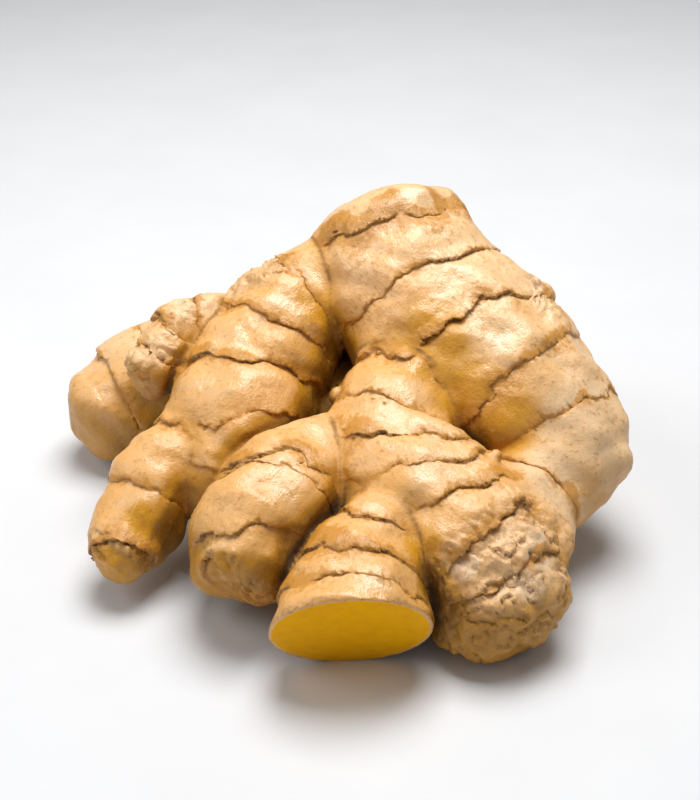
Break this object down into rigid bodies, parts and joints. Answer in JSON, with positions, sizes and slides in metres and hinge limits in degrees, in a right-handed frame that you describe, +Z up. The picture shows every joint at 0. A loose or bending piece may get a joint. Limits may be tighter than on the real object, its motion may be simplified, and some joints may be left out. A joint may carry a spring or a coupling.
{
  "type": "ginger root",
  "caption": "A hand of fresh ginger lying on a table: a knobbly ringed rhizome with blunt fingers, buds and root stubs, and a finger cut across to show yellow flesh.",
  "frame": {"origin": "on the table, under the middle of the rhizome's box", "axes": "+Z up from the table; +Y from the cut finger towards the high back end; +X to the right of someone who looks at the cut face"},
  "size_m": [0.1208, 0.1197, 0.065],
  "materials": {
    "skin": "thin dry tan skin with a soft gloss, brown ragged scale rings, and moist mustard-yellow flesh on the cut face"
  },
  "bodies": {
    "root": {"ginger_rhizome": "skin"}
  },
  "joints": []
}
